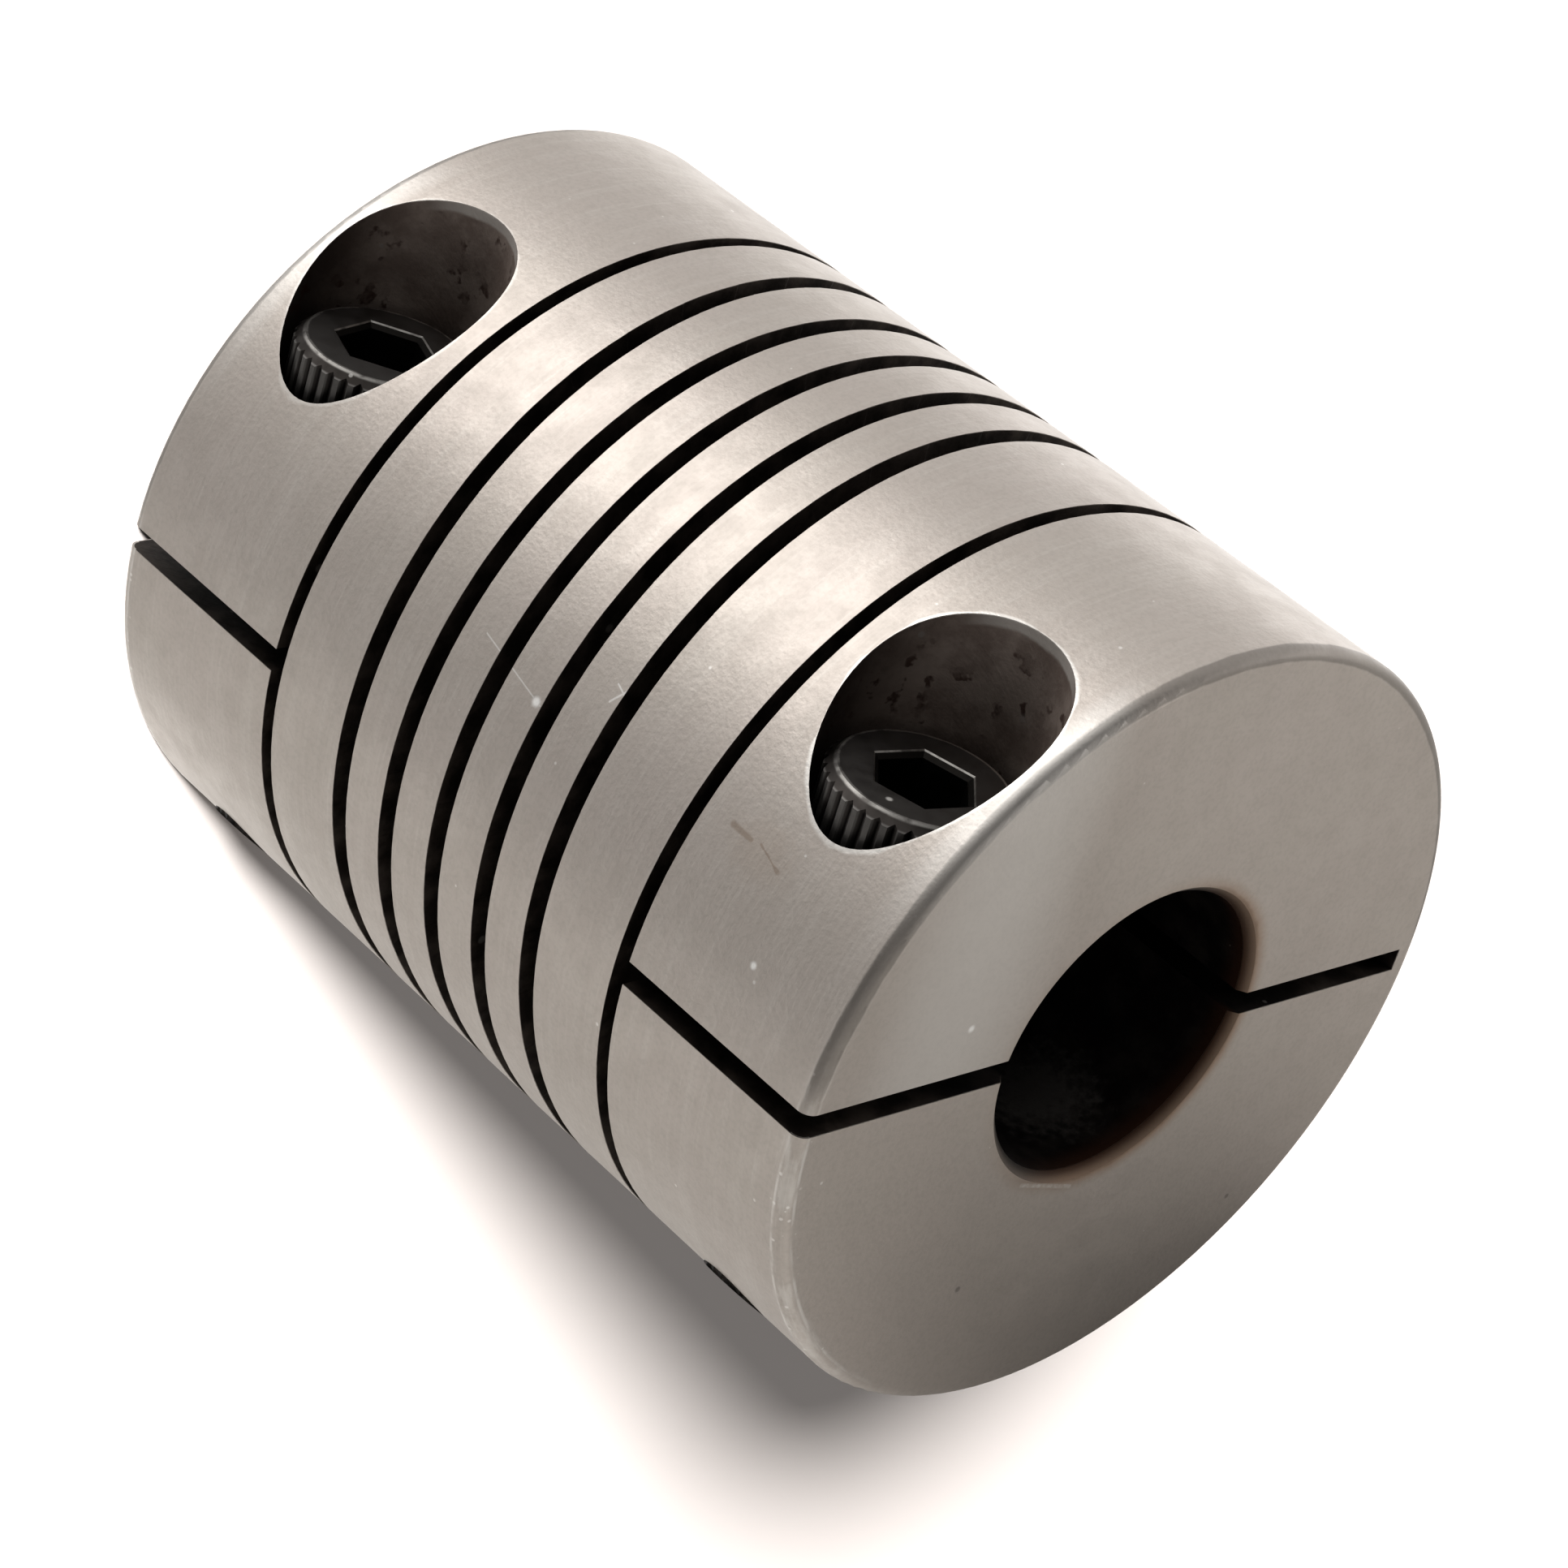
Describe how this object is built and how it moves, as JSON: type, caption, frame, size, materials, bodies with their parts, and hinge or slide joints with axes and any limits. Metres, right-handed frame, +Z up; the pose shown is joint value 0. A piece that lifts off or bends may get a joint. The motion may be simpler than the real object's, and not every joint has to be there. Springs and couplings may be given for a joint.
{
  "type": "helical beam coupling",
  "caption": "Flexible shaft coupling cut from one bar as a coiled beam, with a slit clamp and a cap screw at each end.",
  "frame": {"origin": "centre of the lower end face, which the coupling stands on", "axes": "+Z up along the shaft axis; both clamps open towards +X; both screws go in from -Y and lie along Y"},
  "size_m": [0.0254, 0.0254, 0.0318],
  "materials": {
    "stainless_steel": "satin, fine matt grain left by turning and blasting",
    "blackened_screw_steel": "black oxide, worn bright on the edges"
  },
  "bodies": {
    "root": {"coupling_body": "stainless_steel", "lower_clamp_screw": "blackened_screw_steel", "upper_clamp_screw": "blackened_screw_steel"}
  },
  "joints": []
}
